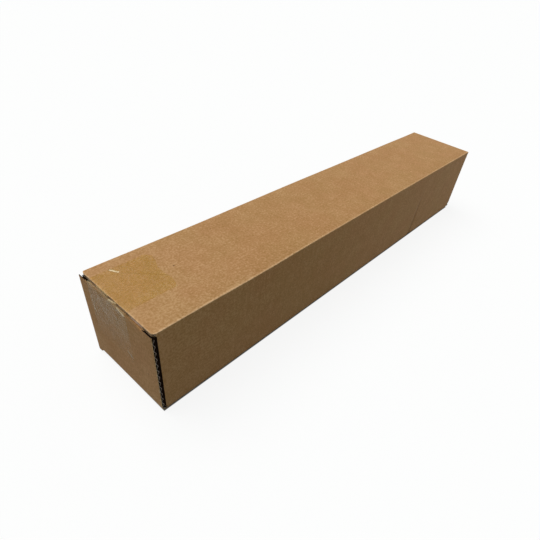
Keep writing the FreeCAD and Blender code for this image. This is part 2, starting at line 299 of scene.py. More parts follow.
def drawn(bm, run, way, stops):
    """Draws a run of edges out into a sheet, stop by stop; a stop is (distance, step)."""
    reached = 0.0
    for distance, step in stops:
        count = max(1, round((distance - reached) / step))
        run = bmesh.ops.spin(bm, geom=run, cent=(0, 0, 0), axis=(0, 0, 1), angle=0, steps=count,
                             dvec=Vector(way) * ((distance - reached) / count))["geom_last"]
        reached = distance
    return run


def rim(bm, wanted):
    """Open edges whose middles pass the test, with their ends."""
    edges = [e for e in bm.edges if e.is_boundary and wanted((e.verts[0].co + e.verts[1].co) / 2)]
    return edges + list({v for e in edges for v in e.verts})


def cut_away(bm, unwanted):
    """Removes the faces whose middles pass the test."""
    faces = [f for f in bm.faces if unwanted(f.calc_center_median(), f.normal)]
    bmesh.ops.delete(bm, geom=faces, context="FACES")


def trimmed(bm, near, point, outward, keep=False):
    """Cuts the faces that pass the test along a plane, and drops what is beyond it."""
    faces = [f for f in bm.faces if near(f.calc_center_median())]
    parts = faces + list({e for f in faces for e in f.edges}) + list({v for f in faces for v in f.verts})
    bmesh.ops.bisect_plane(bm, geom=parts, dist=1e-4, plane_co=point, plane_no=outward,
                           clear_outer=not keep)


def dust_flap(bm, face_x, side, way, fold, bottom, top, shoulder):
    """Folds a dust flap in from the upright edge of the front (side -1) or back (+1) panel.

    way is -1 at the near end and 1 at the far end.
    """
    root_x = face_x - way * fold
    face_y = FRONT if side < 0 else BACK
    edge = rim(bm, lambda c: abs(c.x - root_x) < 0.01 and abs(c.y - face_y) < 0.01
               and bottom < c.z < top)
    if fold:
        edge = bmesh.ops.spin(bm, geom=edge, cent=(root_x, face_y - side * fold, 0), axis=(0, 0, 1),
                              angle=math.radians(90) * way * -side, steps=4, dvec=(0, 0, 0))["geom_last"]
    drawn(bm, edge, (0, -side, 0), [(DUST_SHOULDER - fold, 9), (DUST_LENGTH - fold, 0.8)])
    reach = lambda c: (face_y - c.y) * side
    flap = lambda c: abs(c.x - face_x) < 0.05 and fold < reach(c) < 1.1 * DUST_LENGTH
    if shoulder:
        cut_away(bm, lambda c, n: flap(c) and reach(c) > DUST_SHOULDER and c.z > DUST_TOP)
    root = DUST_SHOULDER if shoulder else fold
    slope = DUST_TAPER / (DUST_LENGTH - root)
    root_y = face_y - side * root
    beyond = lambda c: flap(c) and reach(c) > root
    trimmed(bm, beyond, (face_x, root_y, bottom), (0, -side * slope, -1))
    trimmed(bm, beyond, (face_x, root_y, DUST_TOP), (0, -side * slope, 1))
    tip_y = face_y - side * DUST_LENGTH
    inset = DUST_TAPER + DUST_CORNER
    for middle_z, up in ((bottom + inset, -1), (DUST_TOP - inset, 1)):
        middle = Vector((face_x, tip_y + side * DUST_CORNER, middle_z))
        for angle in (20, 42, 64):
            turn = math.radians(angle)
            outward = Vector((0, -side * math.cos(turn), up * math.sin(turn)))
            trimmed(bm, flap, middle + outward * DUST_CORNER, outward)


def sleeve_paper(rounded, step, row):
    """The four panels, the lap and the dust flaps of one paper, on the outer face of the board."""
    bm = bmesh.new()
    bend = LONG_FOLD * rounded
    strip = HEIGHT - TOP_STRIP
    cuts = [NEAR_DUST_BOTTOM, FAR_DUST_BOTTOM, DUST_TOP, DUST_SHOULDER_TOP, strip]
    run = bent_line(bm, [(NEAR, BACK - BOARD, LAP_HEIGHT, 0), (NEAR, BACK - BOARD, 0, bend),
                         (NEAR, FRONT, 0, bend)] + [(NEAR, FRONT, z, 0) for z in cuts]
                    + [(NEAR, FRONT, HEIGHT, bend), (NEAR, BACK, HEIGHT, bend)]
                    + [(NEAR, BACK, z, 0) for z in reversed(cuts)] + [(NEAR, BACK, BACK_PANEL_Z, 0)], row)
    length = FAR - NEAR
    near_face, far_face = NEAR + NEAR_DUST_FACE, FAR - FAR_DUST_FACE
    near_root, far_root = near_face + NEAR_DUST_FOLD * rounded, far_face - FAR_DUST_FOLD * rounded
    foot = NEAR_FOLD - NEAR_PROUD + NEAR_LEAN
    stops = sorted([foot, near_root - NEAR, LAP_END_GAP, length - LAP_END_GAP, length - FAR_CORNER,
                    length - FAR_END_CUT, length, far_root - NEAR])
    drawn(bm, run, (1, 0, 0),
          [(stop, length if stop == length - LAP_END_GAP else step) for stop in stops])
    bmesh.ops.recalc_face_normals(bm, faces=bm.faces[:])
    cut_away(bm, lambda c, n: abs(c.y - BACK + BOARD) < 0.01 and c.z < LAP_HEIGHT
             and not NEAR + LAP_END_GAP < c.x < FAR - LAP_END_GAP)
    cut_away(bm, lambda c, n: c.z < NEAR_DUST_BOTTOM and not NEAR + foot < c.x < FAR - FAR_END_CUT)
    cut_away(bm, lambda c, n: c.z > strip and c.x > FAR)
    cut_away(bm, lambda c, n: abs(n.y) > 0.5 and NEAR_DUST_BOTTOM < c.z < strip and c.x < near_root)
    cut_away(bm, lambda c, n: abs(n.y) > 0.5 and c.z < DUST_TOP and c.x > far_root)
    cut_away(bm, lambda c, n: abs(n.y) > 0.5 and DUST_TOP < c.z < strip and c.x > FAR - FAR_END_CUT)
    for face_y in (FRONT, BACK):
        corner = lambda c: (c.x > FAR - FAR_CORNER - 0.1 and c.z < FAR_DUST_BOTTOM
                            and abs(c.y - face_y) < LONG_FOLD + 0.1)
        trimmed(bm, corner, (FAR - FAR_CORNER, face_y, FAR_CORNER_Z), (1, 0, -1), keep=True)
        cut_away(bm, lambda c, n: corner(c) and abs(n.z) < 0.99
                 and c.x - FAR + FAR_CORNER > c.z - FAR_CORNER_Z)
    for side in (-1, 1):
        middle = Vector((NEAR + TOP_CORNER, side * (BACK - TOP_CORNER), 0))
        for angle in (22, 45, 68):
            turn = math.radians(angle)
            outward = Vector((-math.cos(turn), side * math.sin(turn), 0))
            trimmed(bm, lambda c: c.z > strip and c.x < NEAR + 2 * TOP_CORNER and c.y * side > 0,
                    middle + outward * TOP_CORNER, outward)
        dust_flap(bm, near_face, side, -1, NEAR_DUST_FOLD * rounded, NEAR_DUST_BOTTOM, DUST_SHOULDER_TOP,
                  True)
        dust_flap(bm, far_face, side, 1, FAR_DUST_FOLD * rounded, FAR_DUST_BOTTOM, DUST_TOP, False)
    # the long middle is divided last, so that the cuts at the ends stay quick
    long_edges = [e for e in bm.edges if e.calc_length() > length / 2]
    bmesh.ops.subdivide_edges(bm, edges=long_edges, cuts=int(length / step), use_grid_fill=True)
    bmesh.ops.delete(bm, geom=[v for v in bm.verts if not v.link_faces], context="VERTS")
    return bm


def closing_paper(width, lean, bend, foot, rounded, lip, step):
    """One paper of a closing panel, from its foot to the tip of its tuck flap, as at the near end.

    Its outer face is at x 0 and it runs from y 0 to width. lip is how high the paper stands in
    the slits at both ends of the tuck fold.
    """
    bm = bmesh.new()
    slope = math.tan(TUCK_SLOPE)
    corner_z = HEIGHT - BOARD - TUCK_GAP + TUCK_FOLD * (1 / math.cos(TUCK_SLOPE) + slope - 1)
    bent = TUCK_FOLD / math.tan(math.radians(45) - TUCK_SLOPE / 2)
    take = bent * rounded
    run = bent_line(bm, [(foot, 0, 0, 0), (lean, 0, 0, bend), (0, 0, corner_z, take),
                         (EAR, 0, corner_z - EAR * slope, 0),
                         (TUCK_DEPTH, 0, corner_z - TUCK_DEPTH * slope, 0)], step)
    if not rounded:
        bmesh.ops.bisect_plane(bm, geom=run, plane_co=(0, 0, corner_z - bent), plane_no=(0, 0, 1))
        run = bm.verts[:] + bm.edges[:]
    drawn(bm, run, (0, 1, 0), [(SLIT, 2), (width - SLIT, 8), (width - SHOULDER, 2), (width, 2)])
    bmesh.ops.recalc_face_normals(bm, faces=bm.faces[:])
    slit = lambda c: not SLIT < c.y < width - SLIT
    fold_z = corner_z - bent - 0.01
    cut_away(bm, lambda c, n: slit(c) and c.z > fold_z and c.x < EAR)
    lips = rim(bm, lambda c: slit(c) and abs(c.z - fold_z) < 0.1 and c.x < 1)
    if lip > fold_z + 1:
        drawn(bm, lips, (0, 0, 1), [(lip - fold_z, 5)])
    tuck = lambda c: c.x > EAR and c.z > 60
    taper = Vector((TUCK_HALF_WIDTH - TUCK_TIP_HALF_WIDTH, TUCK_DEPTH - TUCK_TAPER_FROM, 0))
    for side in (-1, 1):
        edge_y = width / 2 + side * TUCK_HALF_WIDTH
        trimmed(bm, tuck, (0, edge_y, 0), (0, side, 0))
        trimmed(bm, tuck, (TUCK_TAPER_FROM, edge_y, 0), (taper.x, side * taper.y, 0))
    return bm


def swell(distance, reach):
    """1 at the middle of a swelling, easing to 0 at its reach."""
    return 0.5 + 0.5 * math.cos(math.pi * min(1, abs(distance) / reach))


def near_closing_paper(rounded, lip, step):
    """The taped panel: cut short at the back of its bottom crease, torn at its back slit."""
    bm = closing_paper(NEAR_WIDTH, NEAR_LEAN, NEAR_FOLD, NEAR_LEAN + NEAR_FOLD + 0.02, rounded, lip, step)
    crease_end = NEAR_WIDTH - SHOULDER
    cut_away(bm, lambda c, n: c.y > crease_end and c.z < NEAR_FOLD)
    below = rim(bm, lambda c: c.y > crease_end and abs(c.z - NEAR_FOLD) < 0.1 and c.x < 1)
    drawn(bm, below, (0, 0, -1), [(NEAR_FOLD - SHOULDER_Z, 2)])
    for v in bm.verts:
        if abs(v.co.y - crease_end) < 0.1 and v.co.z < NEAR_FOLD - 0.5 and len(v.link_faces) == 1:
            v.co.y += 0.5
            v.co.z += SHOULDER_LIFT
        if lip and abs(v.co.y - NEAR_WIDTH + SLIT) < 0.1 and v.co.z > lip - 0.1:
            v.co.y += TEAR_WIDTH / 2
    return bm


# the long folds and the top panel's raw edges are paler, scuffed and with a painted highlight; on the
# folds this fades towards the far end
FOLD_FADE = 500.0           # length over which the scuffing of the long folds fades
FOLD_LEAST = 0.45
RAW_EDGE, RAW_EDGE_SCUFF_AND_HIGHLIGHT = 0.9, 0.6
# painted shade along the bruise: its strength, and how far beside the dent it lies
BRUISE_SHADE = 0.95
BRUISE_SHADE_ASIDE = 1.2
NEAR_PANEL_GLUED, TUCK_GLUED = 7.4, 7.5     # where a flute first meets the liner


def sleeve_flat(co, normal):
    """How a point of the sleeve lies over the flutes (-1 outside, 1 inside) and in the flat sheet.

    The third number of its place is up to 1 on a fold, where the liner is scuffed and a highlight
    is painted, less towards the far end, and below 0 along the bruise, where shade is painted.
    """
    fold = 0
    if min(abs(normal.y), abs(normal.z)) > 0.15:
        fold = max(FOLD_LEAST, 1 - (co.x - NEAR) / FOLD_FADE)
    if abs(normal.x) > 0.3:
        across = abs(BACK) - abs(co.y)
        wave = 0.0 if abs(normal.x) < 0.9 else math.cos(2 * math.pi * across / FLUTE)
        place = (-across, co.z, 0)
    else:
        across = co.x - NEAR
        wave = -math.cos(2 * math.pi * across / FLUTE)
        if normal.z > 0.7 and min(across, FAR - co.x) < RAW_EDGE:
            fold = RAW_EDGE_SCUFF_AND_HIGHLIGHT
        # painted shade along the bruise
        if normal.y < -0.9 and co.z < BRUISE_HEIGHT:
            shaded = swell(co.x - BRUISE_X - BRUISE_LEAN * co.z + BRUISE_SHADE_ASIDE, BRUISE_WIDTH / 2)
            fold = -BRUISE_SHADE * (1 - co.z / BRUISE_HEIGHT) ** 0.6 * shaded
        place = (across, co.y if abs(normal.z) > 0.7 else co.z + PANEL_APART, fold)
    return wave, place


def closing_flat(co, normal):
    """The same for a closing panel."""
    wave = 0.0
    if normal.x < -0.9:
        wave = math.cos(2 * math.pi * (co.z - NEAR_PANEL_GLUED) / FLUTE)
    elif normal.z > 0.9:
        wave = math.cos(2 * math.pi * (co.x - TUCK_GLUED) / FLUTE)
    return wave, (co.z - co.x, co.y + 2 * PANEL_APART, 0)


def laid(bm, paper, flat_of):
    """Lays a paper at its depth in the board, and gives it its thickness and its finishes."""
    flat = bm.verts.layers.float_vector.new("flat_sheet")
    bm.normal_update()
    sinks = []
    for v in bm.verts:
        wave, place = flat_of(v.co, v.normal)
        v[flat] = (place[0] * MM, place[1] * MM, place[2])
        depth = {"outer": WASHBOARD * (1 + wave) / 2,
                 "medium": (BOARD - MEDIUM) / 2 + (BOARD / 2 - LINER - MEDIUM / 2) * wave,
                 "inner": BOARD - LINER - WASHBOARD * (1 - wave) / 2}[paper]
        sinks.append(v.normal * v.calc_shell_factor() * depth)
    for v, sink in zip(bm.verts, sinks):
        v.co -= sink
    outside = bm.faces[:]
    inside = bmesh.ops.solidify(bm, geom=bm.faces[:], thickness=MEDIUM if paper == "medium" else LINER)
    inside = [part for part in inside["geom"] if isinstance(part, bmesh.types.BMFace)]
    # index 2 is painted shade, near black: the medium, the liners' faces inside the wall, the inner
    # liner's rims and the rims that face up or down
    for face in bm.faces:
        upward = abs(face.normal.z) > 0.9
        face.material_index = 2 if upward or paper == "inner" else 3 if paper == "outer" else 4
    for face in outside:
        face.material_index = 0 if paper == "outer" else 2
    for face in inside:
        face.material_index = 1 if paper == "inner" else 2
    return bm


def share(value):
    """The value, held between 0 and 1."""
    return min(1, max(0, value))


def handled(co):
    """A point of the box as handling has left it.

    The top's back edge waves in and out, its front edge dips, the panels sag between their folds,
    and the front panel has a bruise near the far end.
    """
    x, y, z = co
    along = x - NEAR
    high_up = max(0, z / HEIGHT) ** 3
    wave = sum(height * swell(along - place, reach) for place, reach, height in BACK_EDGE_WAVES)
    dip = sum(depth * swell(along - place, reach) for place, reach, depth in FRONT_EDGE_DIPS)
    wave = (wave - BACK_EDGE_IN) * max(0, y / BACK) ** 3 * high_up
    dip = dip * max(0, -y / BACK) ** 3 * high_up
    # how far the point belongs to each outer panel, and to the middle of it
    top = share((z - HEIGHT + 6) / 3) if along > -0.5 else 0
    front = share((FRONT + 6 - y) / 3) if along > 2 else 0
    back = share((y - BACK + 8) / 3) if along > 2 else 0
    end = share(1 - along / 3) * share((76 - z) / 10)
    middle_y = swell(y, BACK)
    middle_z = swell(z - HEIGHT / 2, HEIGHT / 2)
    unlevel = 0.5 + 0.5 * noise.noise(Vector((x, y, z)) / 70)
    sag = unlevel * swell(x, 1.04 * FAR)
    past = x - BRUISE_X - BRUISE_LEAN * z
    bruise = BRUISE_DEPTH * share(1 - z / BRUISE_HEIGHT) * swell(past, BRUISE_WIDTH / 2)
    bruise += BRUISE_STEP * share(past / 8) * middle_z
    return Vector((x + end * END_SAG * middle_y * middle_z * unlevel,
                   y + wave + front * bruise + (front - back) * SIDE_SAG * middle_z * sag,
                   z - dip - top * TOP_SAG * middle_y * sag))


def joined(bm, into):
    """Moves a finished sheet into a larger one."""
    mesh = bpy.data.meshes.new("paper")
    bm.to_mesh(mesh)
    into.from_mesh(mesh)
    bm.free()
    bpy.data.meshes.remove(mesh)


def piece(name, bm, materials, body):
    """Makes an object of a sheet drawn in millimetres; it rides on the body, where one is given."""
    bmesh.ops.scale(bm, vec=(MM, MM, MM), verts=bm.verts[:])
    mesh = bpy.data.meshes.new(name)
    bm.to_mesh(mesh)
    bm.free()
    mesh.shade_smooth()
    mesh.set_sharp_from_angle(angle=math.radians(35))
    for material in materials:
        mesh.materials.append(material)
    obj = bpy.data.objects.new(name, mesh)
    scene.collection.objects.link(obj)
    if body:
        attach(obj, body)
    return obj


# each paper's spacing of points, across the flutes and around the sleeve
STEPS = {"outer": (1.6, 14), "medium": (0.8, 45), "inner": (3.2, 14)}
crease_way = Vector((-1, 0, 1)).normalized()
crease_spot = Vector((FAR_FOLD_IN, 0, FAR_FOLD_IN))
box_sheet = bmesh.new()
flap_sheet = bmesh.new()
crease_sheet = bmesh.new()
for paper, (step, row) in STEPS.items():
    rounded = 1 if paper == "outer" else 0
    lip = LIP.get(paper, 0)
    joined(laid(sleeve_paper(rounded, step, row), paper, sleeve_flat), box_sheet)

    # the tuck fold of the near panel rolls up under the raw edge of the top panel, with shade painted
    # on its ridge; the panel leans out towards the back, more so where its bottom crease ends
    panel = laid(near_closing_paper(rounded, lip, step), paper, closing_flat)
    flat = panel.verts.layers.float_vector["flat_sheet"]
    for v in panel.verts:
        if SLIT < v.co.y < NEAR_WIDTH - SLIT and v.co.z > CREASE_ROLL_FROM:
            roll = CREASE_ROLL + CREASE_ROLL_BACK * swell(v.co.y - CREASE_ROLL_AT, CREASE_ROLL_REACH)
            if paper == "outer":
                v[flat].z = -CREASE_ROLL_SHADE * swell(v.co.x - 0.7, 1.2) * (v.co.z > 78)
            v.co.z += roll * swell(v.co.x - 0.3, 1.3) * min(1, (v.co.z - CREASE_ROLL_FROM) / 5)
        crease_free = v.co.y > NEAR_WIDTH - SHOULDER
        v.co.x -= SKEW * v.co.y * (1 if crease_free else share(v.co.z / NEAR_FOLD))
    bmesh.ops.translate(panel, vec=(NEAR - NEAR_PROUD, FRONT, 0), verts=panel.verts[:])
    joined(panel, box_sheet)

    # the box's part of the far crease, the flap's part, and the two lines of liner that join them
    for part, sheet in ((-1, box_sheet), (1, flap_sheet), (0, crease_sheet)):
        if part == 0 and paper == "medium":
            continue
        panel = closing_paper(FAR_WIDTH, 0, FAR_FOLD, FAR_PROUD + 0.52, rounded, lip, step)
        for cut in (part,) if part else (-1, -0.5, 0, 0.5, 1):
            bmesh.ops.bisect_plane(panel, geom=panel.verts[:] + panel.edges[:] + panel.faces[:],
                                   plane_co=crease_spot + crease_way * CREASE_HALF * cut,
                                   plane_no=crease_way * (-part or cut or 1), clear_outer=abs(cut) == 1)
        laid(panel, paper, closing_flat)
        bmesh.ops.scale(panel, vec=(-1, 1, 1), verts=panel.verts[:])
        bmesh.ops.reverse_faces(panel, faces=panel.faces[:])
        bmesh.ops.translate(panel, vec=(FAR + FAR_PROUD, -FAR_WIDTH / 2, 0), verts=panel.verts[:])
        joined(panel, sheet)

# Painted shade: the roots of the near dust flaps, deep in the gap behind the taped panel, and the cut
# edges at the foot of the near back corner are given the near-black painted shade of the medium; the
# crushed board under the front half of the top panel's raw edge, which the light reaches, is given
# the pale colour of a cut medium edge instead.
for face in box_sheet.faces:
    x, y, z = face.calc_center_median()
    if face.material_index == 0 and face.normal.x < -0.3 and 1.5 < x - NEAR < 3 and z < 79.6:
        face.material_index = 2
    if face.material_index == 2 and x - NEAR < 3.3 and z > 80.2 and SLIT < y - FRONT < 28:
        face.material_index = 4
    if face.material_index > 2 and x - NEAR < 1 and y > BACK - 7 and z < 5:
        face.material_index = 2
for v in box_sheet.verts:
    v.co = handled(v.co)


# the tone of the pulp: the size of each layer, and its weight
CLOUD_SIZE, CLOUDS = 11 * MM, 0.4
MOTTLE_SIZE, MOTTLE = 1.8 * MM, 1.2
FIBRE_LENGTH, FIBRE_WIDTH, FIBRES = 3 * MM, 0.45 * MM, 0.25
# how strong the painted shade of the washboard over the flutes is
WASHBOARD_SHADE = 0.015
TONE_BASE = -0.14
# painted light at the near end: how far it reaches, and how much paler
NEAR_END_LIGHT_REACH, NEAR_END_LIGHT = 130 * MM, 0.08
WARM_SIZE, WARM, WARM_TINT = 35 * MM, 0.35, "#fff0f4"
# dark flecks of bark, in under half of the cells, and two large ones: where each is in the flat
# sheet, and how dark
FLECK_CELL, FLECK_SHARE, FLECKS_FROM = 9 * MM, 0.55, 0.55
SPECKS = [(53.6, 6.4, 0.9), (34.5, 2 * PANEL_APART + 11.5, 0.8)]
SPECK_INNER, SPECK_OUTER = 0.4 * MM, 0.9 * MM
BARK = "#5d4026"
# scuffing and a painted highlight on the rim beside the front fold, and their pale colour
RIM_FROM, RIM_TO, RIM_WEAR_AND_HIGHLIGHT = (FRONT + 0.9) * MM, (FRONT + 2.4) * MM, 0.52
WORN_AND_HIGHLIGHT = "#ffd2a4"
# painted shade: its colour, along the bruise and on the rolled fold
CREASE_SHADE = "#5a4028"


def kraft(name, colour, dark, light, roughness, gloss=0.2):
    """Unbleached kraft paper, cloudy and fibrous, with painted shade, scuffs and painted highlights."""
    material = bpy.data.materials.new(name)
    material.use_nodes = True
    tree = material.node_tree
    tree.nodes.clear()
    place = add(tree, "ShaderNodeTexCoord")
    flat = add(tree, "ShaderNodeAttribute", attribute_name="flat_sheet")
    parts = add(tree, "ShaderNodeSeparateXYZ", {0: flat.outputs["Vector"]})
    # clouds of fibre in the pulp, coarse and fine
    clouds = add(tree, "ShaderNodeTexNoise", {"Vector": place.outputs["Object"], "Scale": 1 / CLOUD_SIZE,
                                              "Detail": 3.0, "Roughness": 0.6})
    mottle = add(tree, "ShaderNodeTexNoise", {"Vector": place.outputs["Object"], "Scale": 1 / MOTTLE_SIZE,
                                              "Detail": 4.0, "Roughness": 0.65})
    # fibres that lie with the run of the paper, across the flutes, drawn as wide as they need to show
    lie = add(tree, "ShaderNodeVectorMath", {0: flat.outputs["Vector"],
                                             1: (1 / FIBRE_LENGTH, 1 / FIBRE_WIDTH, 1.0)},
              operation="MULTIPLY")
    fibres = add(tree, "ShaderNodeTexNoise", {"Vector": lie.outputs[0], "Scale": 1.0, "Detail": 2.0,
                                              "Distortion": 0.6})
    # faint ribs of painted shade over the flutes, where the liner ripples between the glue lines
    turns = add(tree, "ShaderNodeMath", {0: parts.outputs["X"], 1: 2 * math.pi / (FLUTE * MM)},
                operation="MULTIPLY")
    washboard_shade = add(tree, "ShaderNodeMath", {0: turns.outputs[0]}, operation="COSINE")
    tone = add(tree, "ShaderNodeMath", {0: clouds.outputs["Fac"], 1: CLOUDS, 2: TONE_BASE},
               operation="MULTIPLY_ADD")
    # painted light: the near end is painted a little paler
    fade_along = add(tree, "ShaderNodeMapRange", {0: parts.outputs["X"], 1: 0.0, 2: NEAR_END_LIGHT_REACH,
                                              3: NEAR_END_LIGHT, 4: 0.0})
    tone = add(tree, "ShaderNodeMath", {0: tone.outputs[0], 1: fade_along.outputs[0]}, operation="ADD")
    for layer, weight in ((mottle.outputs["Fac"], MOTTLE), (fibres.outputs["Fac"], FIBRES),
                          (washboard_shade.outputs[0], WASHBOARD_SHADE)):
        tone = add(tree, "ShaderNodeMath", {0: layer, 1: weight, 2: tone.outputs[0]},
                   operation="MULTIPLY_ADD")
    shade = add(tree, "ShaderNodeValToRGB", {0: tone.outputs[0]})
    shade.color_ramp.elements[0].position = 0.52
    shade.color_ramp.elements[0].color = linear(dark)
    shade.color_ramp.elements[1].position = 1.0
    shade.color_ramp.elements[1].color = linear(light)
    middle = shade.color_ramp.elements.new(0.8)
    middle.color = linear(colour)
    # a little warmer or cooler from place to place
    drift = add(tree, "ShaderNodeTexNoise", {"Vector": place.outputs["Object"], "Scale": 1 / WARM_SIZE,
                                             "Detail": 1.0})
    drift = add(tree, "ShaderNodeMapRange", {0: drift.outputs["Fac"], 1: 0.35, 2: 0.65, 3: 0.0, 4: WARM})
    paint = add(tree, "ShaderNodeMix", {0: drift.outputs[0], 6: shade.outputs["Color"],
                                        7: linear(WARM_TINT)}, data_type="RGBA", blend_type="MULTIPLY")
    # flecks of bark, about 0.6 mm across
    cells = add(tree, "ShaderNodeTexVoronoi", {"Vector": place.outputs["Object"],
                                               "Scale": 1 / FLECK_CELL})
    chance = add(tree, "ShaderNodeSeparateColor", {0: cells.outputs["Color"]})
    fleck = add(tree, "ShaderNodeMapRange", {0: cells.outputs["Distance"], 1: 0.03, 2: 0.055,
                                             3: 1.0, 4: 0.0})
    chosen = add(tree, "ShaderNodeMath", {0: chance.outputs[0], 1: FLECKS_FROM}, operation="GREATER_THAN")
    for factor in (chosen.outputs[0], FLECK_SHARE):
        fleck = add(tree, "ShaderNodeMath", {0: fleck.outputs[0], 1: factor}, operation="MULTIPLY")
    for x, y, dark_share in SPECKS:
        gap = add(tree, "ShaderNodeVectorMath", {0: flat.outputs["Vector"], 1: (x * MM, y * MM, 0)},
                  operation="DISTANCE")
        speck = add(tree, "ShaderNodeMapRange", {0: gap.outputs["Value"], 1: SPECK_INNER, 2: SPECK_OUTER,
                                                 3: dark_share, 4: 0.0})
        fleck = add(tree, "ShaderNodeMath", {0: fleck.outputs[0], 1: speck.outputs[0]},
                    operation="MAXIMUM")
    # bent fibres scuff paler, and so does the rim of the panel beside the front fold; both also carry a
    # painted highlight
    rim_wear_and_highlight = add(tree, "ShaderNodeMapRange", {0: parts.outputs["Y"], 1: RIM_FROM, 2: RIM_TO,
                                                3: RIM_WEAR_AND_HIGHLIGHT, 4: 0.0})
    wear_and_highlight = add(tree, "ShaderNodeMath", {0: parts.outputs["Z"], 1: rim_wear_and_highlight.outputs[0]},
                operation="MAXIMUM")
    wear_and_highlight = add(tree, "ShaderNodeMath", {0: wear_and_highlight.outputs[0], 1: mottle.outputs["Fac"]},
                operation="MULTIPLY")
    wear_and_highlight = add(tree, "ShaderNodeMapRange", {0: wear_and_highlight.outputs[0], 1: 0.1, 2: 0.6, 3: 0.0, 4: 0.9})
    # painted shade along the bruise and on the ridge of the rolled tuck fold
    crease_shade = add(tree, "ShaderNodeMapRange", {0: parts.outputs["Z"], 1: -1.0, 2: 0.0, 3: 0.8, 4: 0.0})
    for amount, mark in ((fleck, BARK), (wear_and_highlight, WORN_AND_HIGHLIGHT), (crease_shade, CREASE_SHADE)):
        paint = add(tree, "ShaderNodeMix", {0: amount.outputs[0], 6: paint.outputs[2], 7: linear(mark)},
                    data_type="RGBA")
    height = add(tree, "ShaderNodeMath", {0: fibres.outputs["Fac"], 1: 0.6, 2: mottle.outputs["Fac"]},
                 operation="MULTIPLY_ADD")
    relief = add(tree, "ShaderNodeBump", {"Strength": 0.35, "Distance": 0.05 * MM,
                                          "Height": height.outputs[0]})
    rough = add(tree, "ShaderNodeMapRange", {0: mottle.outputs["Fac"], 1: 0.3, 2: 0.7,
                                             3: roughness - 0.06, 4: roughness + 0.06})
    paper = add(tree, "ShaderNodeBsdfPrincipled",
                {"Base Color": paint.outputs[2], "Roughness": rough.outputs[0],
                 "Normal": relief.outputs[0], "IOR": 1.5, "Specular IOR Level": gloss})
    add(tree, "ShaderNodeOutputMaterial", {"Surface": paper.outputs[0]})
    return material


# Kraft liner is unbleached and uncoated, so it is matt and warm brown; the medium is recycled. It and
# the liners' faces inside the wall are painted near black, as the shade deep inside the board, and a
# cut edge is paler than the faces.
papers = [kraft("kraft_liner", "#b38555", "#a07740", "#c59a6c", 0.68),
          kraft("kraft_inner_liner", "#a87b4e", "#8f6540", "#bd9162", 0.75),
          kraft("fluted_medium_painted_shade", "#241812", "#1a110c", "#33241c", 0.85, 0.03),
          kraft("cut_liner_edge", "#d2ac7e", "#ae8658", "#ecd0a8", 0.8),
          kraft("cut_medium_edge", "#baa49c", "#94827c", "#d4c2bc", 0.85, 0.05)]
folded = piece("folded_board", box_sheet, papers, "box")
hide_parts("folded_box")
flap = piece("end_flap_board", flap_sheet, papers, "end_flap")
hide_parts("far_end_flap")
crease = piece("far_crease_liners", crease_sheet, papers, None)
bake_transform(crease)


# ---- Packing tape --------------------------------------------------------------
# One strip of clear film with yellowed acrylic glue, torn off by hand and pressed over the near
# top edge: flat on the top panel, over the rolled crease and down the closing panel.
TAPE = 0.03
TAPE_FRONT_Y = -14.5
TAPE_BACK_Y = 32.3
TAPE_LOW_Z = 31.0
TAPE_TOP_Z = HEIGHT + 0.06
TAPE_REACH = 47.0           # along the top panel, before the end is torn to its line
TAPE_MESH = 0.7
# the torn end: Y, and how far it is from the raw edge
TORN_END = [(-14.5, 41.0), (-8.0, 43.2), (-2.5, 44.3), (1.5, 43.0), (11.0, 43.4), (19.5, 46.6),
            (27.0, 48.8), (32.3, 44.5)]
TOOTH, TOOTH_SIZE = 1.7, 0.5
RIPPLE, RIPPLE_SIZE = 5, 0.03       # the film's own small unevenness
# creases in the film: from, to (distance past the raw edge, Y), half width, height, and its painted
# highlight, with the whitening of air under the crease, which is below 0 where shade is painted along
# a dark crease
CREASES = [((20.0, 24.0), (45.0, -1.0), 1.0, 0.2, -0.22),
           ((24.0, 29.5), (32.0, 14.5), 0.9, 0.15, -0.12),
           ((15.4, 31.5), (18.6, 25.8), 1.0, 0.3, 2.6),
           ((39.5, -14.3), (44.0, -12.5), 0.8, 0.3, 0.6),
           ((-0.4, 22.0), (-0.2, 8.0), 0.6, 0.2, 0.45),
           ((-1.8, 5.3), (-0.4, -2.4), 0.7, 0.3, 0.6),
           ((-2.2, -4.6), (-3.6, -13.6), 0.8, 0.3, 0.9),
           ((-4.6, -3.0), (-5.2, -13.0), 0.6, 0.2, 0.3),
           ((-43.5, -8.6), (-46.4, -14.0), 1.6, 0.3, 0.5),
           ((-18.0, 30.8), (-31.0, 28.6), 1.6, 0.1, 0.2)]


def torn_at(y):
    """How far the torn end is from the raw edge, with the small teeth of a hand tear."""
    for (y0, far0), (y1, far1) in zip(TORN_END, TORN_END[1:]):
        if y <= y1 or y1 == TAPE_BACK_Y:
            tooth = TOOTH_SIZE * noise.noise(Vector((y / TOOTH, 3.0, 0)))
            return far0 + (far1 - far0) * (y - y0) / (y1 - y0) + tooth


def off_line(point, start, end):
    """Distance from a point to a straight run."""
    run = Vector(end) - Vector(start)
    along = share((Vector(point) - Vector(start)).dot(run) / run.length_squared)
    return (Vector(point) - Vector(start) - run * along).length


